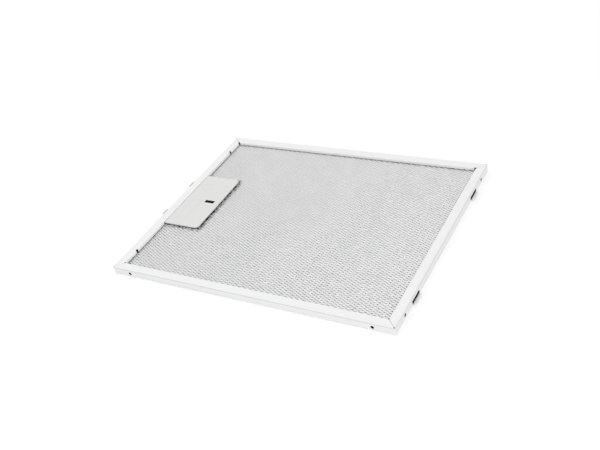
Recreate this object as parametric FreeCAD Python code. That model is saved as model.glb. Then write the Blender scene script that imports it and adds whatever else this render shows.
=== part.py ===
import FreeCAD, Part
import math
import os

from FreeCAD import Placement, Rotation, Vector

# Cooker hood grease filter: a folded aluminium frame round a pack of expanded mesh, with a sprung slide latch.
# Millimetres. Origin at the middle of the frame's underside, X along the long sides with the latch at -X,
# Z up through the pack to the side that faces the room.

# Frame strip
length = 320.0            # over the outer walls, along X
width = 252.0             # over the outer walls, along Y
depth = 8.5               # over the two flanges
gauge = 0.6               # sheet thickness
flange = 9.5              # flange width, front and rear
front_lip = 3.4           # inner edge of the front flange, turned down
fold = 1.0                # outside radius of the long folds at the wall
lip_fold = 0.7            # outside radius of the long folds at the lips
corner_fold = 1.2         # outside radius of the wall at the corners
mitre_gap = 0.25          # seam where two flanges meet
fold_relief = 0.8         # half diagonal of the relief at each outer flange corner
inner_relief = 1.3        # half diagonal of the relief at each inner flange corner
closing_gap = 1.8         # the lip stops short by this at the corner where the strip closes
closing_notch = 1.2       # the same gap, into the flange

# Holes in the frame
drain_bore = 3.4          # drain hole diameter
drain_from_end = 22.0     # drain holes of the long walls, from the frame's end
drain_from_side = 22.0    # drain holes of the short walls, from the frame's side
drain_height = 3.8        # middle of the drain holes above the rear face
lip_notch = 2.8           # notch in the lip of the latch rail, along the rail
lip_notch_depth = 1.3     # the same, into the flange
lip_notch_from_side = 30.5

# Fixed tongues, opposite the latch
tongue_width = 16.0
tongue_reach = 3.6        # beyond the outer wall
tongue_round = 3.0        # radius of the free corners
tongue_offset = 79.0      # middle of each tongue from the middle of the rail
window_top = 4.6          # height of the window above each tongue
window_clear = 0.4        # lanced gap at each end of a tongue

# Mesh pack
cover_mesh = 0.7          # thickness of the front and rear sheets
inner_mesh = 0.5          # thickness of each inner layer
inner_count = 3
layer_gap = 0.05          # between layers
pack_fit = 0.05           # between the pack and the lips
pack_edge_gap = 1.0       # between the pack and the inside of the wall
cover_count = (7, 10)     # diamonds along X and Y, drawn larger than the real 6.6 by 3.0 mm ones
crossed_count = (9, 4)    # the same on the first and third inner layers
middle_count = (4, 9)     # the same on the second inner layer
cover_strand = 4.6        # width of a strand's crest on the cover sheets
inner_strand = 9.0        # the same on the inner layers
strand_flare = 2.2        # widening of a strand from its crest to its foot

# Latch handle
handle_reach = 45.0       # beyond the inner edge of the flange
handle_width = 90.0
handle_thickness = 1.0
handle_round = 5.0        # radius of the free corners
handle_tuck = 7.5         # hidden below the flange
handle_edge = 0.3         # bevel of the upper edge
handle_lip_gap = 0.6      # from the handle's side to the end of the lip
slot_length = 12.0        # along the slide
slot_width = 4.3
slot_from_edge = 7.0      # from the handle's free edge
peg_length = 6.0          # pegs below the handle, along the slide
peg_thickness = 2.0
peg_fit = 0.1             # round a peg, in the bolt
peg_from_side = 6.0       # middle of a peg from the bolt's side

# Latch bolt
travel = 4.0
slide_clear = 0.3         # between moving and fixed faces
bolt_thickness = 1.2
bolt_side_clear = 0.5     # bolt to the side walls of the tray
bolt_from_wall = 3.5      # bolt body to the inside of the wall
tip_width = 10.5
tip_thickness = 1.8
tip_reach = 3.6           # beyond the outer wall
tip_from_side = 9.0       # middle of each tip from the bolt's side
tip_round = 2.4
tip_ramp = 1.0            # bevel below each tip
tip_slot_clear = 0.4      # wall slot, at each side of a tip
stem_width = 14.0         # the part of the bolt below the handle's slot
stem_end = 2.6            # stem beyond the slot's end
foot_length = 6.0         # snap legs, along the slide
foot_thickness = 1.6
foot_barb = 1.2
spring_lug_width = 6.0
spring_lug_thickness = 2.0

# Latch tray
tray_inset = 0.5          # rims to the handle's sides
tray_floor = 1.0
tray_wall = 1.5
tray_fit = 0.5            # tray in the notch of the pack
tray_from_edge = 4.7      # tray to the handle's free edge
tray_from_wall = 1.2      # tray to the inside of the frame wall
tray_rim = 6.5            # rims that hold the edge of the mesh pack
tray_rim_thickness = 0.8
foot_pocket = 3.0         # clear round the barbs, in the lower rim

# Leaf springs
spring_span = 24.0
spring_bow = 7.5
spring_gauge = 0.4
spring_height = 1.7
spring_from_side = 15.0   # middle of each spring from the bolt's side
spring_seat_gap = 0.1

# Worked out from the above
pack_top = depth - front_lip - pack_fit
pack_bottom = pack_top - 2 * cover_mesh - inner_count * inner_mesh - (inner_count + 1) * layer_gap
rear_lip = pack_bottom - pack_fit
pack_length = length - 2 * (gauge + pack_edge_gap)
pack_width = width - 2 * (gauge + pack_edge_gap)

# The latch is laid out from the outer face of its rail, then moved to -X
handle_edge_x = flange + handle_reach
tray_width = handle_width - 2 * (tray_inset + tray_rim)
bolt_width = tray_width - 2 * (tray_wall + bolt_side_clear)
tip_offset = bolt_width / 2 - tip_from_side
peg_offset = bolt_width / 2 - peg_from_side
spring_offset = bolt_width / 2 - spring_from_side
handle_top = depth - gauge - slide_clear
handle_bottom = handle_top - handle_thickness
bolt_bottom = handle_bottom - bolt_thickness
bolt_start = gauge + bolt_from_wall
tip_bottom = handle_bottom - tip_thickness
slot_end = handle_edge_x - slot_from_edge
slot_start = slot_end - slot_length
tray_start = gauge + tray_from_wall
tray_end = handle_edge_x - tray_from_edge
tray_floor_top = pack_bottom + tray_floor
tray_top = bolt_bottom - slide_clear
rim_bottom = pack_bottom - pack_fit - tray_rim_thickness
rim_top = pack_top + pack_fit + tray_rim_thickness
rail_clear = flange + pack_edge_gap
foot_start = (slot_start + slot_end) / 2 - foot_length / 2 - travel / 2
foot_inner = slot_width / 2
foot_outer = foot_inner + foot_thickness
spring_end = tray_end - tray_wall - spring_seat_gap
spring_apex = spring_end - spring_bow
bolt_end = spring_apex - spring_seat_gap
spring_bottom = tray_floor_top + slide_clear


def box(x0, x1, y0, y1, z0, z1):
    """Block between two corners."""
    return Part.makeBox(x1 - x0, y1 - y0, z1 - z0, Vector(x0, y0, z0))


def outline(corners):
    """Face inside a closed outline in the XY plane. Each corner is x, y and its radius."""
    edges = []
    joins = []
    for i, (x, y, radius) in enumerate(corners):
        here = Vector(x, y, 0)
        back = (Vector(corners[i - 1][0], corners[i - 1][1], 0) - here).normalize()
        ahead = corners[(i + 1) % len(corners)]
        on = (Vector(ahead[0], ahead[1], 0) - here).normalize()
        half = back.getAngle(on) / 2
        reach = radius / math.tan(half)
        joins.append((here + back * reach, here + on * reach))
        if radius > 0:
            middle = here + (back + on).normalize() * (radius / math.sin(half) - radius)
            edges.append(Part.Arc(joins[-1][0], middle, joins[-1][1]).toShape())
    for i, (entry, _) in enumerate(joins):
        leave = joins[i - 1][1]
        if leave.distanceToPoint(entry) > 1e-6:
            edges.append(Part.makeLine(leave, entry))
    return Part.Face(Part.Wire(Part.__sortEdges__(edges)))


def prism(corners, z0, z1):
    """Upright body on a rounded outline."""
    face = outline(corners)
    face.translate(Vector(0, 0, z0))
    return face.extrude(Vector(0, 0, z1 - z0))


def rectangle(x0, x1, y0, y1, radius=0.0):
    """Corners of a rectangle, all with one radius."""
    return [(x0, y0, radius), (x1, y0, radius), (x1, y1, radius), (x0, y1, radius)]


def run_along_x(face, run):
    """Body with a constant section along X. The section's x and y become Y and Z."""
    section = face.copy()
    section.Placement = Placement(Vector(-run / 2, 0, 0), Rotation(Vector(1, 1, 1), 120))
    return section.extrude(Vector(run, 0, 0))


def turned(shape, degrees):
    """Copy turned about the vertical axis through the origin."""
    return shape.rotated(Vector(0, 0, 0), Vector(0, 0, 1), degrees)


def cylinder(radius, z0, z1, x, y):
    """Upright cylinder."""
    return Part.makeCylinder(radius, z1 - z0, Vector(x, y, z0))


def joined(shapes):
    """One solid out of touching or crossing solids."""
    return shapes[0].multiFuse(shapes[1:]).removeSplitter()


def both_sides(shape):
    """A body and its mirror image across the middle of the latch."""
    return [shape, shape.mirror(Vector(0, 0, 0), Vector(0, 1, 0))]


def at_latch_rail(shape):
    """Moves a body from the latch layout to its place in the filter."""
    return shape.translated(Vector(-length / 2, 0, 0))


# Frame


def lipped_channel():
    """Section of the strip: wall, two flanges and their lips. x runs inward from the outer face."""
    inside = flange - gauge
    return outline([
        (flange, depth - front_lip, 0),
        (flange, depth, lip_fold),
        (0, depth, fold),
        (0, 0, fold),
        (flange, 0, lip_fold),
        (flange, rear_lip, 0),
        (inside, rear_lip, 0),
        (inside, gauge, 0),
        (gauge, gauge, 0),
        (gauge, depth - gauge, 0),
        (inside, depth - gauge, 0),
        (inside, depth - front_lip, 0),
    ])


def rail(run, out, angle):
    """One side of the frame with mitred ends, its outer face at the distance out."""
    bar = run_along_x(lipped_channel(), run).translated(Vector(0, -out, 0))
    near_half = run / 2 - mitre_gap / math.sqrt(2)
    far_half = near_half - flange
    wedge = prism([
        (-near_half, -out, 0),
        (near_half, -out, 0),
        (far_half, flange - out, 0),
        (-far_half, flange - out, 0),
    ], 0, depth)
    return turned(bar.common(wedge), angle)


def diamond(x, y, half_x, half_y):
    """Corners of a diamond about a point."""
    return [(x - half_x, y, 0), (x, y - half_y, 0), (x + half_x, y, 0), (x, y + half_y, 0)]


def corner_reliefs():
    """Cuts at the flange corners that let the strip fold. The strip closes at the +X, +Y corner."""
    inner_x = length / 2 - flange
    inner_y = width / 2 - flange
    cuts = [box(inner_x - closing_gap, inner_x, inner_y, inner_y + closing_notch, depth - front_lip, depth)]
    for x_side in (-1, 1):
        for y_side in (-1, 1):
            outer = diamond(x_side * (length / 2 - fold), y_side * (width / 2 - fold), fold_relief, fold_relief)
            inner = diamond(x_side * inner_x, y_side * inner_y, inner_relief, inner_relief)
            cuts.append(prism(outer, 0, fold))
            cuts.append(prism(outer, depth - fold, depth))
            cuts.append(prism(inner, 0, depth))
    return cuts


def drain_holes():
    """Cross bores through the four walls."""
    cuts = []
    for side in (-1, 1):
        along_y = Vector(side * (length / 2 - drain_from_end), -width / 2 - gauge, drain_height)
        cuts.append(Part.makeCylinder(drain_bore / 2, width + 2 * gauge, along_y, Vector(0, 1, 0)))
        along_x = Vector(-length / 2 - gauge, side * (width / 2 - drain_from_side), drain_height)
        cuts.append(Part.makeCylinder(drain_bore / 2, length + 2 * gauge, along_x, Vector(1, 0, 0)))
    return cuts


def latch_rail_cuts():
    """Openings of the latch rail: lip gap for the handle, lip notches and slots for the bolt's tips."""
    lip_half = handle_width / 2 + handle_lip_gap
    cuts = [box(flange - lip_fold, flange, -lip_half, lip_half, rear_lip, depth)]
    notch_middle = width / 2 - lip_notch_from_side
    tip_half = tip_width / 2 + tip_slot_clear
    notch = box(flange - lip_notch_depth, flange, notch_middle - lip_notch / 2, notch_middle + lip_notch / 2,
                rear_lip, depth)
    tip_slot = box(0, gauge, tip_offset - tip_half, tip_offset + tip_half,
                   tip_bottom - slide_clear, handle_bottom + slide_clear)
    return cuts + both_sides(notch) + both_sides(tip_slot)


def tongue(middle):
    """Flat tongue that carries on from the rear flange."""
    half = tongue_width / 2
    root = length / 2 - flange / 2
    tip = length / 2 + tongue_reach
    return prism([
        (root, middle - half, 0),
        (tip, middle - half, tongue_round),
        (tip, middle + half, tongue_round),
        (root, middle + half, 0),
    ], 0, gauge)


def tongue_window(middle):
    """Opening left in the wall where a tongue was turned out."""
    half = tongue_width / 2 + window_clear
    return box(length / 2 - fold, length / 2, middle - half, middle + half, 0, window_top)


def frame():
    sides = [
        rail(length, width / 2, 0),
        rail(width, length / 2, 90),
        rail(length, width / 2, 180),
        rail(width, length / 2, 270),
    ]
    half_x = length / 2
    half_y = width / 2
    envelope = prism(rectangle(-half_x, half_x, -half_y, half_y, corner_fold), 0, depth)
    core = prism(rectangle(gauge - half_x, half_x - gauge, gauge - half_y, half_y - gauge), 0, depth)
    wall = envelope.cut(core).common(box(-half_x, half_x, -half_y, half_y, fold, depth - fold))
    ring = joined([wall] + [side.common(envelope) for side in sides])
    windows = [tongue_window(side * tongue_offset) for side in (-1, 1)]
    latch_cuts = [at_latch_rail(cut) for cut in latch_rail_cuts()]
    ring = ring.cut(corner_reliefs() + drain_holes() + windows + latch_cuts)
    lip_half = handle_width / 2 + handle_lip_gap
    plain_edge = box(flange - 2 * lip_fold, flange, -lip_half, lip_half, depth - gauge, depth)
    tongues = [tongue(side * tongue_offset) for side in (-1, 1)]
    return joined([ring, at_latch_rail(plain_edge)] + tongues)


# Mesh pack


def diamond_wire(x, y, half_x, half_y, z):
    """Closed diamond at a height."""
    corners = [Vector(px, py, z) for px, py, _ in diamond(x, y, half_x, half_y)]
    return Part.makePolygon(corners + corners[:1])


def expanded_sheet(thickness, cells, strand):
    """Sheet of staggered diamond holes between ridged strands, with the notch that takes the tray."""
    long = pack_length / cells[0]
    short = pack_width / cells[1]
    slant = math.hypot(long, short)
    crest_share = 1 - strand * slant / (long * short)
    foot_share = 1 - (strand + strand_flare) * slant / (long * short)
    holes = []
    for row in range(2 * cells[1] - 1):
        y = (row + 1) * short / 2 - pack_width / 2
        in_row = cells[0] - row % 2
        for k in range(in_row):
            x = (k - (in_row - 1) / 2) * long
            mouth = diamond_wire(x, y, crest_share * long / 2, crest_share * short / 2, thickness)
            foot = diamond_wire(x, y, foot_share * long / 2, foot_share * short / 2, 0)
            holes.append(Part.makeLoft([mouth, foot], True, True))
    half_x = pack_length / 2
    half_y = pack_width / 2
    notch_half = tray_width / 2 + tray_fit
    notch = at_latch_rail(box(0, tray_end + tray_fit, -notch_half, notch_half, 0, thickness))
    return box(-half_x, half_x, -half_y, half_y, 0, thickness).cut(Part.makeCompound(holes)).cut(notch)


def mesh_pack():
    """All layers from the rear up, by name."""
    cover = expanded_sheet(cover_mesh, cover_count, cover_strand)
    rear = cover.mirror(Vector(0, 0, cover_mesh / 2), Vector(0, 0, 1))
    layers = {"rear_mesh": rear.translated(Vector(0, 0, pack_bottom))}
    z = pack_bottom + cover_mesh + layer_gap
    for i in range(inner_count):
        sheet = expanded_sheet(inner_mesh, middle_count if i % 2 else crossed_count, inner_strand)
        layers[f"inner_mesh_{i + 1}"] = sheet.translated(Vector(0, 0, z))
        z += inner_mesh + layer_gap
    layers["front_mesh"] = cover.translated(Vector(0, 0, z))
    return layers


# Latch


def pegs(spare, z0, z1):
    """Four flat pegs that hold the handle on the bolt, each with some spare all round."""
    bodies = []
    for middle in (bolt_start + peg_length, bolt_end - peg_length):
        half_x = peg_length / 2 + spare
        half_y = peg_thickness / 2 + spare
        peg = box(middle - half_x, middle + half_x, peg_offset - half_y, peg_offset + half_y, z0, z1)
        bodies += both_sides(peg)
    return bodies


def latch_handle():
    half = handle_width / 2
    plate = prism([
        (flange - handle_tuck, -half, 0),
        (handle_edge_x, -half, handle_round),
        (handle_edge_x, half, handle_round),
        (flange - handle_tuck, half, 0),
    ], handle_bottom, handle_top)
    upper = [edge for edge in plate.Edges if edge.BoundBox.ZMin > handle_top - handle_edge]
    plate = plate.makeChamfer(handle_edge, upper)
    slot = box(slot_start, slot_end, -slot_width / 2, slot_width / 2, handle_bottom, handle_top)
    return at_latch_rail(joined([plate.cut(slot)] + pegs(0, bolt_bottom, handle_bottom)))


def bolt_tip():
    """Tip through the frame wall, bevelled below so that it rides over the hood's edge."""
    low = tip_offset - tip_width / 2
    high = tip_offset + tip_width / 2
    blade = prism([
        (-tip_reach, low, tip_round),
        (bolt_start, low, 0),
        (bolt_start, high, 0),
        (-tip_reach, high, tip_round),
    ], tip_bottom, handle_bottom)
    ramp = Part.makePolygon([
        Vector(-tip_reach, low, tip_bottom),
        Vector(tip_ramp - tip_reach, low, tip_bottom),
        Vector(-tip_reach, low, tip_bottom + tip_ramp),
        Vector(-tip_reach, low, tip_bottom),
    ])
    return blade.cut(Part.Face(ramp).extrude(Vector(0, tip_width, 0)))


def snap_leg():
    """Leg and barb that keep the bolt on the tray's floor."""
    foot_end = foot_start + foot_length
    barb_top = pack_bottom - slide_clear
    leg = box(foot_start, foot_end, foot_inner, foot_outer, rim_bottom, bolt_bottom)
    barb = box(foot_start, foot_end, foot_outer, foot_outer + foot_barb, rim_bottom, barb_top)
    lower = [edge for edge in barb.Edges if edge.BoundBox.ZMax < barb_top and edge.BoundBox.YMin > foot_outer]
    return joined([leg, barb.makeChamfer((barb_top - rim_bottom) / 2, lower)])


def spring_lug():
    """Rib below the bolt that bears on a leaf spring."""
    half = spring_lug_width / 2
    return box(bolt_end - spring_lug_thickness, bolt_end, spring_offset - half, spring_offset + half,
               spring_bottom, bolt_bottom)


def latch_bolt():
    half = bolt_width / 2
    body = prism(rectangle(bolt_start, bolt_end, -half, half), bolt_bottom, handle_bottom)
    stem_half = stem_width / 2
    stem = box(bolt_start, slot_end + stem_end, -stem_half, stem_half, bolt_bottom, handle_bottom)
    pieces = [body, stem] + both_sides(bolt_tip()) + both_sides(snap_leg()) + both_sides(spring_lug())
    slot = box(slot_start, slot_end, -slot_width / 2, slot_width / 2, bolt_bottom, handle_bottom)
    return at_latch_rail(joined(pieces).cut([slot] + pegs(peg_fit, bolt_bottom, handle_bottom)))


def latch_tray():
    """Guide for the bolt. Its rims hold the edge of the pack's notch from below and, at the sides, from above."""
    half = tray_width / 2
    rim_half = half + tray_rim
    sill = box(tray_start, rail_clear, -half, half, pack_bottom, tray_floor_top)
    floor = box(rail_clear, tray_end, -half, half, rim_bottom, tray_floor_top)
    end = box(tray_end - tray_wall, tray_end, -half, half, tray_floor_top, tray_top)
    lower_rim = box(rail_clear, tray_end + tray_rim, -rim_half, rim_half, rim_bottom, pack_bottom - pack_fit)
    side = box(tray_start, tray_end, half - tray_wall, half, tray_floor_top, rim_top)
    upper_rim = box(rail_clear, tray_end, half, rim_half, pack_top + pack_fit, rim_top)
    slot_half = foot_outer + slide_clear
    foot_end = foot_start + foot_length
    foot_slot = box(foot_start - slide_clear, foot_end + travel + slide_clear, -slot_half, slot_half,
                    rim_bottom, tray_floor_top)
    pocket_half = foot_outer + foot_barb + foot_pocket
    pocket = box(foot_start - foot_pocket, foot_end + travel + foot_pocket, -pocket_half, pocket_half,
                 rim_bottom, pack_bottom)
    tray = joined([floor, sill, end, lower_rim] + both_sides(side) + both_sides(upper_rim))
    return at_latch_rail(tray.cut([foot_slot, pocket]))


def leaf_spring():
    """Bowed strip that stands on edge, its apex towards the latch rail."""
    radius = (spring_span ** 2 / 4 + spring_bow ** 2) / (2 * spring_bow)
    centre = spring_apex + radius
    top = spring_bottom + spring_height
    hoop = cylinder(radius, spring_bottom, top, centre, spring_offset)
    hoop = hoop.cut(cylinder(radius - spring_gauge, spring_bottom, top, centre, spring_offset))
    half = spring_span / 2
    bow = box(spring_apex, spring_end, spring_offset - half, spring_offset + half, spring_bottom, top)
    return hoop.common(bow)


near_spring, far_spring = both_sides(leaf_spring())[::-1]
nodes = {
    "frame": frame(),
    "latch_handle": latch_handle(),
    "latch_bolt": latch_bolt(),
    "latch_tray": latch_tray(),
    "latch_spring_near": at_latch_rail(near_spring),
    "latch_spring_far": at_latch_rail(far_spring),
}
nodes.update(mesh_pack())

os.makedirs("parts", exist_ok=True)
for name, shape in nodes.items():
    shape.exportStep(f"parts/{name}.step")
    print(name, "solids", len(shape.Solids), "valid", shape.isValid(), "volume", round(shape.Volume, 1))
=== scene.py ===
import math
from functools import partial

import bmesh
import bpy
from mathutils import Matrix, Vector


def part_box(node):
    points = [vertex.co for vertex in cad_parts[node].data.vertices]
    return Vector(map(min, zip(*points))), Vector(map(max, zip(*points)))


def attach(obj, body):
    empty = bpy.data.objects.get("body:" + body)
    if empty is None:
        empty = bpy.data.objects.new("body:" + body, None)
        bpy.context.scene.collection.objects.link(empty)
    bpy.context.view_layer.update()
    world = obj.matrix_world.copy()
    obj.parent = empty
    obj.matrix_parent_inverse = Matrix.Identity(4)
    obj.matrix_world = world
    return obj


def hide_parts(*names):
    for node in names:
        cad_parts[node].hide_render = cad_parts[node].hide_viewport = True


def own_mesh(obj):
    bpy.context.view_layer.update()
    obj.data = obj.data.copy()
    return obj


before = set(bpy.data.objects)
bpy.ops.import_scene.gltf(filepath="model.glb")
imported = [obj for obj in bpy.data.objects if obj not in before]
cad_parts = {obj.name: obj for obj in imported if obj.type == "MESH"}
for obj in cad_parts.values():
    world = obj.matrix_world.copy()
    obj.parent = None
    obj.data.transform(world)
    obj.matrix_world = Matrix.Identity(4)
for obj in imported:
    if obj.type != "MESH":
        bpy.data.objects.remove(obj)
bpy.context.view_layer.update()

# Cooker hood grease filter. Metres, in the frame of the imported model.

# Expanded foil of the two cover sheets
cover_cell = {
    "Long way": 0.00656,            # diamond along the long sides
    "Short way": 0.00303,           # diamond along the short sides
    "Bond": 0.0008,                 # length of the bond between two strands
    "Bond slant": -0.9,             # slope of the bonds, where the foil was pulled askew
    "Strand width": 0.00068,
    "Foil": 0.00016,                # thickness of a strand
    "Lean": math.radians(28),       # strand out of the sheet's plane
}

# Expanded foil of the hidden layers
inner_cell = {
    "Long way": 0.01075,
    "Short way": 0.00637,
    "Bond": 0.0012,
    "Bond slant": 0.0,
    "Strand width": 0.0014,
    "Foil": 0.00016,
    "Lean": math.radians(12),
}

# All sheets
sheet_margin = 0.0004               # sheet edge inside the space of its solid
notch_end = -0.1090                 # notch of the sheets, where the latch tray sits
notch_half = 0.0392
unevenness = 0.00004                # wave of a sheet out of its plane
wave_scale = 55.0                   # waves in a metre
wave_gain = 4.0                     # brings the noise to about -1 to 1
strand_twist = 0.12                 # twist of the strands, at random
strand_sway = 0.03                  # twist of the strands, with the wave

# Latch
spring_gauge = 0.0004
spring_steps = 36
plate_end = -0.1055                 # free edge of the handle
plate_half = 0.045
slot_middle = -0.1185               # slot in the handle, for the painted shade on its walls: place and half sizes
slot_half = (0.00602, 0.00217)
ring_place = (-0.137, 0.0245)       # ring moulded in the handle
ring_radius = 0.006
recess_place = (-0.135, -0.017)     # long recess moulded in the handle
recess_half = (0.006, 0.017)
recess_round = 0.003
groove_width = 0.0011               # lines of the ring and the recess
groove_depth = 14.0                 # against the handle's grain
# painted shade along the lines of the ring and the recess
painted_groove_shade = 0.94

# Frame, for its painted shade and highlight
frame_low, frame_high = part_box("frame")
half_length = -frame_low.x          # at the latch, because the other end has the tongues
half_width = (frame_high.y - frame_low.y) / 2
flange = 0.0095
gauge = 0.0006
depth = 0.0085
fold = 0.0010
# Painted shade along the outer fold, where the rounded fold turns from the light
fold_shadow_height = 0.0077                  # height of the painted shade line along the outer fold
fold_shadow_half = 0.0009
fold_shade = 0.77
mitre_reach = 0.0020                # to each side of the mitres, where light gets in
painted_inside_shade = 0.04                 # painted shade inside the channel and the frame, and on the walls of the handle's slot
painted_highlight_gain = 1.18                   # painted highlight on the lips and tongues, against the rest of the strip
strip_metal = 0.4
strip_drawn = 0.03                  # grain along the strip against grain across it

# Sheets and tray, for their painted shade and light
lip_shadow_shade = 0.26                   # painted shade along the edge of the sheets under the lips, against their middle
edge_reach = 0.0020
patch_scale = 380.0                 # patches in the painted shade under the lips and beside the handle
lip_shadow_limits = (0.35, 0.60)
plate_shadow_limits = (0.43, 0.57)
plate_shadow_shade = 0.08                  # painted shadow of the handle on the sheets beside it
plate_shadow_reach = 0.0045
painted_rim_light = 9.0                     # painted light on the tray's rims, against its floor

# Surface marks: limits of their noise
tone_limits = (0.30, 0.70)
wear_limits = (0.35, 0.70)

# Surroundings and floor
white = (1.0, 1.0, 1.0, 1.0)
ambient = 0.84
floor_half = 30.0
floor_level = -0.0001
floor_tone = (0.72, 0.72, 0.72, 1.0)
floor_glow = 0.31

# Lamps: place, size, power, and whether metal mirrors the lamp
lamps = {
    "key": ((1.0, -1.2, 1.25), 1.4, 4.6, True),
    "back": ((-0.9, 0.9, 1.4), 1.4, 2.7, False),
    "fill": ((-1.3, -0.4, 1.4), 1.4, 2.0, True),
    "front": ((0.75, -1.0, 0.3), 0.8, 2.2, True),
}

# Camera
sensor_width = 36.0
lens = 48.82
view_right = (0.86305, 0.46238, -0.20336)
view_up = (-0.13940, 0.60498, 0.78394)
view_back = (0.48551, -0.64823, 0.58658)
view_place = (0.41458, -0.55936, 0.50080)


def put(tree, kind, inputs=None, **settings):
    """Adds a node, sets its properties, and fills or links its inputs by name or number."""
    node = tree.nodes.new(kind)
    for name, value in settings.items():
        setattr(node, name, value)
    for key, value in (inputs or {}).items():
        if isinstance(value, bpy.types.NodeSocket):
            tree.links.new(value, node.inputs[key])
        else:
            node.inputs[key].default_value = value
    return node


def math_of(tree, operation, *values):
    """Output of a maths node."""
    return put(tree, "ShaderNodeMath", dict(enumerate(values)), operation=operation).outputs[0]


def vector_of(tree, operation, *values):
    """Output of a vector maths node."""
    return put(tree, "ShaderNodeVectorMath", dict(enumerate(values)), operation=operation).outputs[0]


def vector_at(tree, parts):
    """Vector from some of its three parts."""
    return put(tree, "ShaderNodeCombineXYZ", parts).outputs[0]


def ramp(tree, value, start, end, low, high, **settings):
    """A value between two limits, carried over to two others."""
    inputs = {0: value, 1: start, 2: end, 3: low, 4: high}
    return put(tree, "ShaderNodeMapRange", inputs, **settings).outputs[0]


# Expanded sheets


def expanded_sheet_tree():
    """Rows of zigzag strands that meet at their bonds, as foil that was slit and stretched."""
    tree = bpy.data.node_groups.new("expanded_sheet", "GeometryNodeTree")
    maths = partial(math_of, tree)
    face = tree.interface
    for name, kind in (
        ("Bonds in a row", "NodeSocketInt"),
        ("Rows", "NodeSocketInt"),
        ("Long way", "NodeSocketFloat"),
        ("Short way", "NodeSocketFloat"),
        ("Bond", "NodeSocketFloat"),
        ("Bond slant", "NodeSocketFloat"),
        ("Strand width", "NodeSocketFloat"),
        ("Foil", "NodeSocketFloat"),
        ("Lean", "NodeSocketFloat"),
        ("Turn", "NodeSocketFloat"),
        ("Height", "NodeSocketFloat"),
        ("Unevenness", "NodeSocketFloat"),
        ("Notch end", "NodeSocketFloat"),
        ("Notch half", "NodeSocketFloat"),
        ("Seed", "NodeSocketInt"),
        ("Material", "NodeSocketMaterial"),
    ):
        face.new_socket(name, in_out="INPUT", socket_type=kind)
    face.new_socket("Geometry", in_out="OUTPUT", socket_type="NodeSocketGeometry")
    given = tree.nodes.new("NodeGroupInput").outputs

    # One straight run of points for each row
    points_in_row = maths("MULTIPLY", given["Bonds in a row"], 2.0)
    run = put(tree, "GeometryNodeMeshLine", {"Count": points_in_row}, mode="OFFSET").outputs[0]
    rows = put(tree, "GeometryNodeMeshLine", {"Count": given["Rows"]}, mode="OFFSET").outputs[0]
    copies = put(tree, "GeometryNodeInstanceOnPoints", {"Points": rows, "Instance": run}).outputs[0]
    lines = put(tree, "GeometryNodeRealizeInstances", {0: copies}).outputs[0]

    # Place of each point from its number
    number = put(tree, "GeometryNodeInputIndex").outputs[0]
    row = maths("FLOOR", maths("DIVIDE", maths("ADD", number, 0.5), points_in_row))
    step = maths("SUBTRACT", number, maths("MULTIPLY", row, points_in_row))
    bond = maths("FLOOR", maths("DIVIDE", maths("ADD", step, 0.5), 2.0))
    end = maths("SUBTRACT", step, maths("MULTIPLY", bond, 2.0))
    odd = maths("MODULO", maths("ADD", bond, row), 2.0)
    side = maths("SUBTRACT", 1.0, maths("MULTIPLY", odd, 2.0))
    half_strand = maths("MULTIPLY", given["Strand width"], 0.5)
    flat = maths("MULTIPLY", half_strand, maths("COSINE", given["Lean"]))
    rise = maths("MULTIPLY", half_strand, maths("SINE", given["Lean"]))
    swing = maths("SUBTRACT", maths("MULTIPLY", given["Short way"], 0.25), flat)
    middle_bond = maths("MULTIPLY", maths("SUBTRACT", given["Bonds in a row"], 1.0), 0.5)
    middle_row = maths("MULTIPLY", maths("SUBTRACT", given["Rows"], 1.0), 0.5)
    half_long_way = maths("MULTIPLY", given["Long way"], 0.5)
    half_short_way = maths("MULTIPLY", given["Short way"], 0.5)
    bond_x = maths("MULTIPLY", maths("SUBTRACT", bond, middle_bond), half_long_way)
    end_x = maths("MULTIPLY", maths("SUBTRACT", end, 0.5), given["Bond"])
    row_y = maths("MULTIPLY", maths("SUBTRACT", row, middle_row), half_short_way)
    slanted_y = maths("ADD", row_y, maths("MULTIPLY", end_x, given["Bond slant"]))
    flat_place = vector_at(tree, {
        0: maths("ADD", bond_x, end_x),
        1: maths("ADD", slanted_y, maths("MULTIPLY", side, swing)),
        2: maths("SUBTRACT", given["Height"], maths("MULTIPLY", side, rise)),
    })
    turned = put(tree, "ShaderNodeVectorRotate", {"Vector": flat_place, "Angle": given["Turn"]},
                 rotation_type="Z_AXIS").outputs[0]

    # Stretched foil is never quite even
    spread = vector_of(tree, "MULTIPLY", turned, (wave_scale, wave_scale, 0.0))
    spread = vector_of(tree, "ADD", spread, vector_at(tree, {2: given["Seed"]}))
    noise = put(tree, "ShaderNodeTexNoise", {"Vector": spread, "Scale": 1.0, "Detail": 2.0}).outputs[0]
    wave = maths("MULTIPLY", maths("SUBTRACT", noise, 0.5), wave_gain)
    lift = vector_at(tree, {2: maths("MULTIPLY", wave, given["Unevenness"])})
    jolt = put(tree, "FunctionNodeRandomValue",
               {0: (-1.0, -1.0, -1.0), 1: (1.0, 1.0, 1.0), "Seed": given["Seed"]},
               data_type="FLOAT_VECTOR").outputs[0]
    jolt = put(tree, "ShaderNodeVectorMath", {0: jolt, "Scale": given["Unevenness"]},
               operation="SCALE").outputs[0]
    uneven = vector_of(tree, "ADD", turned, vector_of(tree, "ADD", jolt, lift))
    placed = put(tree, "GeometryNodeSetPosition", {"Geometry": lines, "Position": uneven}).outputs[0]

    # Notch for the latch tray
    here = put(tree, "GeometryNodeInputPosition").outputs[0]
    here_x, here_y, _ = put(tree, "ShaderNodeSeparateXYZ", {0: here}).outputs
    in_depth = maths("LESS_THAN", here_x, given["Notch end"])
    in_width = maths("LESS_THAN", maths("ABSOLUTE", here_y), given["Notch half"])
    in_notch = maths("MULTIPLY", in_depth, in_width)
    notched = put(tree, "GeometryNodeDeleteGeometry", {"Geometry": placed, "Selection": in_notch},
                  domain="POINT").outputs[0]

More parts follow.
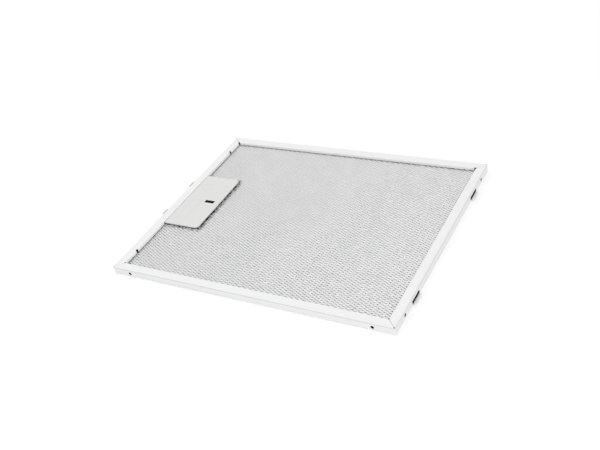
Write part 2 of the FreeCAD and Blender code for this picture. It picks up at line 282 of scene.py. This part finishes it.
    # Strands with a flat face and a shallow ridge behind it
    strands = put(tree, "GeometryNodeMeshToCurve", {"Mesh": notched}).outputs[0]
    level = put(tree, "GeometryNodeSetCurveNormal", {"Curve": strands}, mode="Z_UP").outputs[0]
    twist = put(tree, "FunctionNodeRandomValue", {2: -strand_twist, 3: strand_twist, "Seed": given["Seed"]},
                data_type="FLOAT").outputs[1]
    sway = maths("ADD", twist, maths("MULTIPLY", wave, strand_sway))
    tilt = maths("ADD", maths("ADD", given["Lean"], math.pi / 2), sway)
    leaning = put(tree, "GeometryNodeSetCurveTilt", {"Curve": level, "Tilt": tilt}).outputs[0]
    triangle = put(tree, "GeometryNodeCurvePrimitiveCircle", {"Resolution": 3, "Radius": 1.0},
                   mode="RADIUS").outputs[0]
    section_size = vector_at(tree, {
        0: maths("DIVIDE", given["Foil"], 1.5),                     # the triangle's height
        1: maths("DIVIDE", given["Strand width"], math.sqrt(3)),    # and its side
        2: 1.0,
    })
    section = put(tree, "GeometryNodeTransform", {"Geometry": triangle, "Scale": section_size}).outputs[0]
    foil = put(tree, "GeometryNodeCurveToMesh", {
        "Curve": leaning, "Profile Curve": section, "Fill Caps": True}).outputs[0]
    creased = put(tree, "GeometryNodeSetShadeSmooth", {"Geometry": foil, "Shade Smooth": False}).outputs[0]
    solid = put(tree, "GeometryNodeRealizeInstances", {0: creased}).outputs[0]
    dressed = put(tree, "GeometryNodeSetMaterial", {"Geometry": solid, "Material": given["Material"]})
    put(tree, "NodeGroupOutput", {0: dressed.outputs[0]})
    return tree


def add_piece(name, mesh, node):
    """Puts a mesh on the filter's body in place of one of its solids."""
    piece = bpy.data.objects.new(name, mesh)
    bpy.context.scene.collection.objects.link(piece)
    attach(piece, "filter")
    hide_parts(node)
    return piece


def expanded_sheet(node, tree, material, cell, turned, seed):
    """Fine sheet in the space of one of the mesh solids."""
    low, high = (Vector(corner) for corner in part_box(node))
    room = high - low
    along = room.y if turned else room.x
    across = room.x if turned else room.y
    values = {
        **cell,
        "Bonds in a row": int((along - 2 * sheet_margin - cell["Bond"]) / (cell["Long way"] / 2)) + 1,
        "Rows": int((across - 2 * sheet_margin) / (cell["Short way"] / 2)),
        "Turn": math.radians(90) if turned else 0.0,
        "Height": (low.z + high.z) / 2,
        "Unevenness": unevenness,
        "Notch end": notch_end,
        "Notch half": notch_half,
        "Seed": seed,
        "Material": material,
    }
    holder = bpy.data.objects.new("sheet_holder", bpy.data.meshes.new("sheet_holder"))
    bpy.context.scene.collection.objects.link(holder)
    sheet = holder.modifiers.new("expanded_sheet", "NODES")
    sheet.node_group = tree
    for item in tree.interface.items_tree:
        if item.in_out == "INPUT":
            sheet[item.identifier] = values[item.name]
    graph = bpy.context.evaluated_depsgraph_get()
    mesh = bpy.data.meshes.new_from_object(holder.evaluated_get(graph), depsgraph=graph)
    bpy.data.objects.remove(holder)
    add_piece(node + "_foil", mesh, node)


# Leaf springs


def leaf_spring(node, material):
    """Bowed strip on edge, its apex at the bolt, built at rest; the real spring flattens as the latch is
    drawn back.
    """
    low, high = (Vector(corner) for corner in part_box(node))
    bow = high.x - low.x
    half_span = (high.y - low.y) / 2
    middle = (low.y + high.y) / 2
    outer = (half_span ** 2 + bow ** 2) / (2 * bow)
    inner = outer - spring_gauge
    reach = math.asin(half_span / outer)
    form = bmesh.new()
    rings = []
    for i in range(spring_steps + 1):
        angle = reach * (2 * i / spring_steps - 1)
        ring = []
        for radius, z in ((outer, low.z), (outer, high.z), (inner, high.z), (inner, low.z)):
            x = min(low.x + outer - radius * math.cos(angle), high.x)
            ring.append(form.verts.new((x, middle + radius * math.sin(angle), z)))
        rings.append(ring)
    for a, b in zip(rings, rings[1:]):
        for k in range(4):
            form.faces.new((a[k], a[(k + 1) % 4], b[(k + 1) % 4], b[k]))
    form.faces.new(rings[0])
    form.faces.new(rings[-1][::-1])
    bmesh.ops.recalc_face_normals(form, faces=form.faces)
    mesh = bpy.data.meshes.new(node + "_strip")
    form.to_mesh(mesh)
    form.free()
    mesh.materials.append(material)
    piece = add_piece(node + "_strip", mesh, node)
    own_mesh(piece)


# Finishes


def surface_marks_group():
    """Fine grain and broad smudges: a mask for colour, a mask for roughness and a height."""
    group = bpy.data.node_groups.new("surface_marks", "ShaderNodeTree")
    face = group.interface
    face.new_socket("Vector", in_out="INPUT", socket_type="NodeSocketVector")
    for name, value in (("Grain scale", 400.0), ("Smudge scale", 25.0), ("Smudge share", 0.5)):
        face.new_socket(name, in_out="INPUT", socket_type="NodeSocketFloat").default_value = value
    for name in ("Tone", "Wear", "Height"):
        face.new_socket(name, in_out="OUTPUT", socket_type="NodeSocketFloat")
    given = group.nodes.new("NodeGroupInput").outputs
    grain = put(group, "ShaderNodeTexNoise", {
        "Vector": given["Vector"],
        "Scale": given["Grain scale"],
        "Detail": 3.0,
        "Roughness": 0.6,
    }).outputs[0]
    smudge = put(group, "ShaderNodeTexNoise", {
        "Vector": given["Vector"],
        "Scale": given["Smudge scale"],
        "Detail": 4.0,
        "Distortion": 0.6,
    }).outputs[0]
    both = put(group, "ShaderNodeMix", {0: given["Smudge share"], 2: grain, 3: smudge}, data_type="FLOAT")
    tone = ramp(group, both.outputs[0], *tone_limits, 0.0, 1.0)
    wear = ramp(group, smudge, *wear_limits, 0.0, 1.0)
    put(group, "NodeGroupOutput", {"Tone": tone, "Wear": wear, "Height": grain})
    return group


def between(tree, mask, low, high):
    """Mixes two numbers or two colours by a mask."""
    if isinstance(low, tuple):
        return put(tree, "ShaderNodeMix", {0: mask, 6: low, 7: high}, data_type="RGBA").outputs[2]
    return ramp(tree, mask, 0.0, 1.0, low, high)


def object_space(tree):
    return put(tree, "ShaderNodeTexCoord").outputs["Object"]


def finish(name, marks, colours, roughness, grain, smudge, share, bump, vector=object_space, metallic=0.0,
           height=None, shade=None):
    """Material with colour, roughness and bump from the surface marks, and painted light and shade by
    place.
    """
    material = bpy.data.materials.new(name)
    material.use_nodes = True
    tree = material.node_tree
    shader = tree.nodes["Principled BSDF"]
    if callable(metallic):
        tree.links.new(metallic(tree), shader.inputs["Metallic"])
    else:
        shader.inputs["Metallic"].default_value = metallic
    marked = put(tree, "ShaderNodeGroup", {}, node_tree=marks)
    tree.links.new(vector(tree), marked.inputs["Vector"])
    marked.inputs["Grain scale"].default_value = grain
    marked.inputs["Smudge scale"].default_value = smudge
    marked.inputs["Smudge share"].default_value = share
    colour = between(tree, marked.outputs["Tone"], *colours)
    if shade is not None:
        colour = put(tree, "ShaderNodeVectorMath", {0: colour, "Scale": shade(tree)},
                     operation="SCALE").outputs[0]
    tree.links.new(colour, shader.inputs["Base Color"])
    tree.links.new(between(tree, marked.outputs["Wear"], *roughness), shader.inputs["Roughness"])
    surface = marked.outputs["Height"]
    if height is not None:
        surface = math_of(tree, "ADD", surface, height(tree))
    bumped = put(tree, "ShaderNodeBump", {"Strength": bump[0], "Distance": bump[1], "Height": surface})
    tree.links.new(bumped.outputs[0], shader.inputs["Normal"])
    return material


def place_of(tree):
    """X, Y and Z on a piece."""
    return put(tree, "ShaderNodeSeparateXYZ", {0: object_space(tree)}).outputs


def from_faces(tree):
    """Distances in from the frame's outer faces: at the nearer end, and at the nearer side."""
    x, y, _ = place_of(tree)
    from_end = math_of(tree, "SUBTRACT", half_length, math_of(tree, "ABSOLUTE", x))
    from_side = math_of(tree, "SUBTRACT", half_width, math_of(tree, "ABSOLUTE", y))
    return from_end, from_side


def from_wall(tree):
    """Distance in from the frame's outer face."""
    return math_of(tree, "MINIMUM", *from_faces(tree))


def from_corner(tree):
    """Distance from the frame's outer corners, along the side."""
    return math_of(tree, "MAXIMUM", *from_faces(tree))


def clear_of_mitre(tree):
    """0 beside the diagonals where two sides of the frame meet, 1 elsewhere."""
    off_mitre = math_of(tree, "ABSOLUTE", math_of(tree, "SUBTRACT", *from_faces(tree)))
    return math_of(tree, "GREATER_THAN", off_mitre, mitre_reach)


def within(tree, value, low, high):
    """1 between two limits, 0 outside."""
    above = math_of(tree, "GREATER_THAN", value, low)
    return math_of(tree, "MULTIPLY", above, math_of(tree, "LESS_THAN", value, high))


def along_the_strip(tree):
    """Coordinates drawn out along each side of the frame, changing over at the mitres."""
    from_end, from_side = from_faces(tree)
    long_side = math_of(tree, "LESS_THAN", from_side, from_end)
    drawn_x = put(tree, "ShaderNodeMapping", {
        "Vector": object_space(tree), "Scale": (strip_drawn, 1.0, 1.0)}).outputs[0]
    drawn_y = put(tree, "ShaderNodeMapping", {
        "Vector": object_space(tree), "Scale": (1.0, strip_drawn, 1.0)}).outputs[0]
    return put(tree, "ShaderNodeMix", {0: long_side, 4: drawn_y, 5: drawn_x}, data_type="VECTOR").outputs[1]


def lips_and_tongues(tree):
    """1 on the lips and the tongues, which get a painted highlight."""
    reach = from_wall(tree)
    lip = math_of(tree, "GREATER_THAN", reach, flange - gauge / 4)
    return math_of(tree, "MAXIMUM", lip, math_of(tree, "LESS_THAN", reach, -gauge / 4))


# No metal on the lips and tongues, which carry the painted highlight
def strip_metallic(tree):
    return between(tree, lips_and_tongues(tree), strip_metal, 0.0)


def strip_shade(tree):
    """Painted shade inside the channel and in a fine line along the outer fold, and a painted highlight on
    the lips and tongues.
    """
    maths = partial(math_of, tree)
    height = place_of(tree)[2]
    reach = from_wall(tree)
    rim = maths("MULTIPLY", maths("GREATER_THAN", reach, gauge / 12),
                within(tree, height, fold, depth - fold))
    deep = maths("MULTIPLY", maths("GREATER_THAN", reach, gauge * 3 / 4),
                 within(tree, height, gauge / 2, depth - gauge / 2))
    inside = maths("MULTIPLY", maths("MAXIMUM", rim, deep), maths("LESS_THAN", reach, flange - gauge / 2))
    inside = maths("MULTIPLY", inside, maths("GREATER_THAN", from_corner(tree), 2 * fold))
    inside = maths("MULTIPLY", inside, clear_of_mitre(tree))
    off_line = maths("ABSOLUTE", maths("SUBTRACT", height, fold_shadow_height))
    fold_shadow_mask = ramp(tree, off_line, 0.0, fold_shadow_half, fold_shade, 1.0, interpolation_type="SMOOTHSTEP")
    outside = between(tree, maths("LESS_THAN", reach, fold), 1.0, fold_shadow_mask)
    shade = maths("MULTIPLY", outside, between(tree, inside, 1.0, painted_inside_shade))
    return maths("MULTIPLY", shade, between(tree, lips_and_tongues(tree), 1.0, painted_highlight_gain))


def sheet_shade(tree):
    """Painted shade on the sheet's edge inside the channel, and patchy painted shade under the lips and
    beside the handle.
    """
    maths = partial(math_of, tree)
    x, y, _ = place_of(tree)
    reach = from_wall(tree)
    hidden = maths("MULTIPLY", maths("LESS_THAN", reach, flange - 3 * gauge), clear_of_mitre(tree))
    patches = put(tree, "ShaderNodeTexNoise", {
        "Vector": object_space(tree), "Scale": patch_scale, "Detail": 1.0}).outputs[0]
    lip_shadow_patches = ramp(tree, patches, *lip_shadow_limits, lip_shadow_shade / 2, 2 * lip_shadow_shade)
    edge = ramp(tree, reach, flange, flange + edge_reach, lip_shadow_patches, 1.0)
    past_end = maths("MAXIMUM", maths("SUBTRACT", x, plate_end), 0.0)
    past_side = maths("MAXIMUM", maths("SUBTRACT", maths("ABSOLUTE", y), plate_half), 0.0)
    plate_shadow_specks = ramp(tree, patches, *plate_shadow_limits, plate_shadow_shade, 1.0)
    beside = ramp(tree, maths("ADD", past_end, past_side), 0.0, plate_shadow_reach, plate_shadow_specks, 1.0)
    return maths("MULTIPLY", maths("MINIMUM", edge, beside), between(tree, hidden, 1.0, painted_inside_shade))


def bolt_shade(tree):
    """Painted shade inside the frame; the tips outside it keep their own colour."""
    return between(tree, math_of(tree, "GREATER_THAN", from_wall(tree), 0.0), 1.0, painted_inside_shade)


def tray_shade(tree):
    """Rims paler than the near-black floor: painted light in the shade under the handle's edges."""
    x, y, _ = place_of(tree)
    past_end = math_of(tree, "GREATER_THAN", x, notch_end)
    past_side = math_of(tree, "GREATER_THAN", math_of(tree, "ABSOLUTE", y), notch_half)
    return between(tree, math_of(tree, "MAXIMUM", past_end, past_side), 1.0, painted_rim_light)


def handle_lines(tree):
    """1 on the lines of a ring and of a long recess moulded in the handle."""
    maths = partial(math_of, tree)
    x, y, _ = place_of(tree)
    from_x = maths("SUBTRACT", x, ring_place[0])
    from_y = maths("SUBTRACT", y, ring_place[1])
    squares = maths("ADD", maths("MULTIPLY", from_x, from_x), maths("MULTIPLY", from_y, from_y))
    off_ring = maths("ABSOLUTE", maths("SUBTRACT", maths("SQRT", squares), ring_radius))
    past_x = maths("SUBTRACT", maths("ABSOLUTE", maths("SUBTRACT", x, recess_place[0])), recess_half[0])
    past_y = maths("SUBTRACT", maths("ABSOLUTE", maths("SUBTRACT", y, recess_place[1])), recess_half[1])
    off_recess = maths("ABSOLUTE", maths("SMOOTH_MAX", past_x, past_y, recess_round))
    nearest = maths("MINIMUM", off_ring, off_recess)
    return ramp(tree, nearest, 0.0, groove_width, 1.0, 0.0, interpolation_type="SMOOTHSTEP")


def handle_relief(tree):
    """The lines as shallow grooves."""
    return math_of(tree, "MULTIPLY", handle_lines(tree), -groove_depth)


def handle_shade(tree):
    """Painted shade on the walls of the slot, and faint painted shade along the lines of the relief."""
    x, y, _ = place_of(tree)
    in_length = within(tree, x, slot_middle - slot_half[0], slot_middle + slot_half[0])
    in_width = within(tree, y, -slot_half[1], slot_half[1])
    slot_shadow = between(tree, math_of(tree, "MULTIPLY", in_length, in_width), 1.0, painted_inside_shade)
    return math_of(tree, "MULTIPLY", slot_shadow, between(tree, handle_lines(tree), 1.0, painted_groove_shade))


def dress(node, material):
    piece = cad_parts[node]
    piece.data.materials.clear()
    piece.data.materials.append(material)


# Stage


def light_path_share(tree):
    """1 for rays that see the surroundings themselves, 0 for rays that only gather light."""
    path = put(tree, "ShaderNodeLightPath").outputs
    seen = math_of(tree, "MAXIMUM", path["Is Camera Ray"], path["Is Glossy Ray"])
    return math_of(tree, "MAXIMUM", seen, path["Is Transmission Ray"])


def surroundings():
    """White where it is seen, softer where it lights the filter."""
    world = bpy.data.worlds.new("studio")
    world.use_nodes = True
    tree = world.node_tree
    tree.nodes.clear()
    lit = put(tree, "ShaderNodeBackground", {"Color": white, "Strength": ambient}).outputs[0]
    seen = put(tree, "ShaderNodeBackground", {"Color": white, "Strength": 1.0}).outputs[0]
    either = put(tree, "ShaderNodeMixShader", {0: light_path_share(tree), 1: lit, 2: seen}).outputs[0]
    put(tree, "ShaderNodeOutputWorld", {0: either})
    bpy.context.scene.world = world


def floor():
    """Pale floor that keeps the filter's shadow."""
    mesh = bpy.data.meshes.new("floor")
    corners = [
        (-floor_half, -floor_half, floor_level),
        (floor_half, -floor_half, floor_level),
        (floor_half, floor_half, floor_level),
        (-floor_half, floor_half, floor_level),
    ]
    mesh.from_pydata(corners, [], [(0, 1, 2, 3)])
    piece = bpy.data.objects.new("floor", mesh)
    bpy.context.scene.collection.objects.link(piece)
    material = bpy.data.materials.new("floor_white")
    material.use_nodes = True
    tree = material.node_tree
    tree.nodes.clear()
    matt = put(tree, "ShaderNodeBsdfDiffuse", {"Color": floor_tone}).outputs[0]
    strength = math_of(tree, "MULTIPLY", light_path_share(tree), floor_glow)
    glow = put(tree, "ShaderNodeEmission", {"Color": white, "Strength": strength}).outputs[0]
    both = put(tree, "ShaderNodeAddShader", {0: matt, 1: glow}).outputs[0]
    put(tree, "ShaderNodeOutputMaterial", {0: both})
    mesh.materials.append(material)


def lamp(name, place, size, power, mirrored):
    """Square soft lamp turned to the filter."""
    data = bpy.data.lights.new(name, "AREA")
    data.size = size
    data.energy = power
    turn = Vector(place).to_track_quat("Z", "Y").to_matrix().to_4x4()
    piece = bpy.data.objects.new(name, data)
    piece.matrix_world = Matrix.Translation(place) @ turn
    piece.visible_glossy = mirrored
    bpy.context.scene.collection.objects.link(piece)


def camera():
    """From the near right, a little rolled."""
    data = bpy.data.cameras.new("camera")
    data.sensor_fit = "HORIZONTAL"
    data.sensor_width = sensor_width
    data.lens = lens
    place = Matrix((view_right, view_up, view_back)).transposed().to_4x4()
    place.translation = view_place
    piece = bpy.data.objects.new("camera", data)
    piece.matrix_world = place
    bpy.context.scene.collection.objects.link(piece)
    bpy.context.scene.camera = piece


bpy.context.scene.view_settings.view_transform = "Standard"
marks = surface_marks_group()
strip_aluminium = finish(
    "strip_aluminium", marks, colours=((0.84, 0.84, 0.843, 1.0), (0.875, 0.875, 0.88, 1.0)),
    roughness=(0.40, 0.52), grain=900.0, smudge=18.0, share=0.4, bump=(0.10, 0.00006),
    vector=along_the_strip, metallic=strip_metallic, shade=strip_shade)
foil_aluminium = finish(
    "foil_aluminium", marks, colours=((0.785, 0.783, 0.789, 1.0), (0.855, 0.853, 0.857, 1.0)),
    roughness=(0.28, 0.40), grain=900.0, smudge=60.0, share=0.5, bump=(0.20, 0.00008),
    metallic=0.6, shade=sheet_shade)
# Same foil as the cover sheets, darker by painted shade for lying beneath them
shaded_inner_aluminium = finish(
    "shaded_inner_aluminium", marks, colours=((0.53, 0.53, 0.525, 1.0), (0.63, 0.63, 0.625, 1.0)),
    roughness=(0.34, 0.48), grain=900.0, smudge=60.0, share=0.5, bump=(0.20, 0.00008),
    metallic=0.6, shade=sheet_shade)
handle_plastic = finish(
    "handle_plastic", marks, colours=((0.722, 0.722, 0.706, 1.0), (0.752, 0.752, 0.736, 1.0)),
    roughness=(0.42, 0.52), grain=2600.0, smudge=30.0, share=0.6, bump=(0.10, 0.00004),
    height=handle_relief, shade=handle_shade)
bolt_plastic = finish(
    "bolt_plastic", marks, colours=((0.47, 0.47, 0.46, 1.0), (0.53, 0.53, 0.52, 1.0)),
    roughness=(0.40, 0.55), grain=2200.0, smudge=60.0, share=0.6, bump=(0.15, 0.00005),
    shade=bolt_shade)
latch_plastic = finish(
    "latch_plastic", marks, colours=((0.022, 0.022, 0.023, 1.0), (0.045, 0.045, 0.046, 1.0)),
    roughness=(0.40, 0.58), grain=2200.0, smudge=60.0, share=0.6, bump=(0.20, 0.00005),
    shade=tray_shade)
spring_steel = finish(
    "spring_steel", marks, colours=((0.50, 0.50, 0.51, 1.0), (0.62, 0.62, 0.62, 1.0)),
    roughness=(0.22, 0.36), grain=1500.0, smudge=120.0, share=0.5, bump=(0.15, 0.00004),
    metallic=1.0)

dress("frame", strip_aluminium)
dress("latch_handle", handle_plastic)
dress("latch_bolt", bolt_plastic)
dress("latch_tray", latch_plastic)

sheet_tree = expanded_sheet_tree()
for seed, node in enumerate(("front_mesh", "rear_mesh"), 1):
    expanded_sheet(node, sheet_tree, foil_aluminium, cover_cell, False, seed)
for seed, node in enumerate(("inner_mesh_1", "inner_mesh_2", "inner_mesh_3"), 3):
    expanded_sheet(node, sheet_tree, shaded_inner_aluminium, inner_cell, node != "inner_mesh_2", seed)
for node in ("latch_spring_near", "latch_spring_far"):
    leaf_spring(node, spring_steel)

surroundings()
floor()
for name, values in lamps.items():
    lamp(name, *values)
camera()
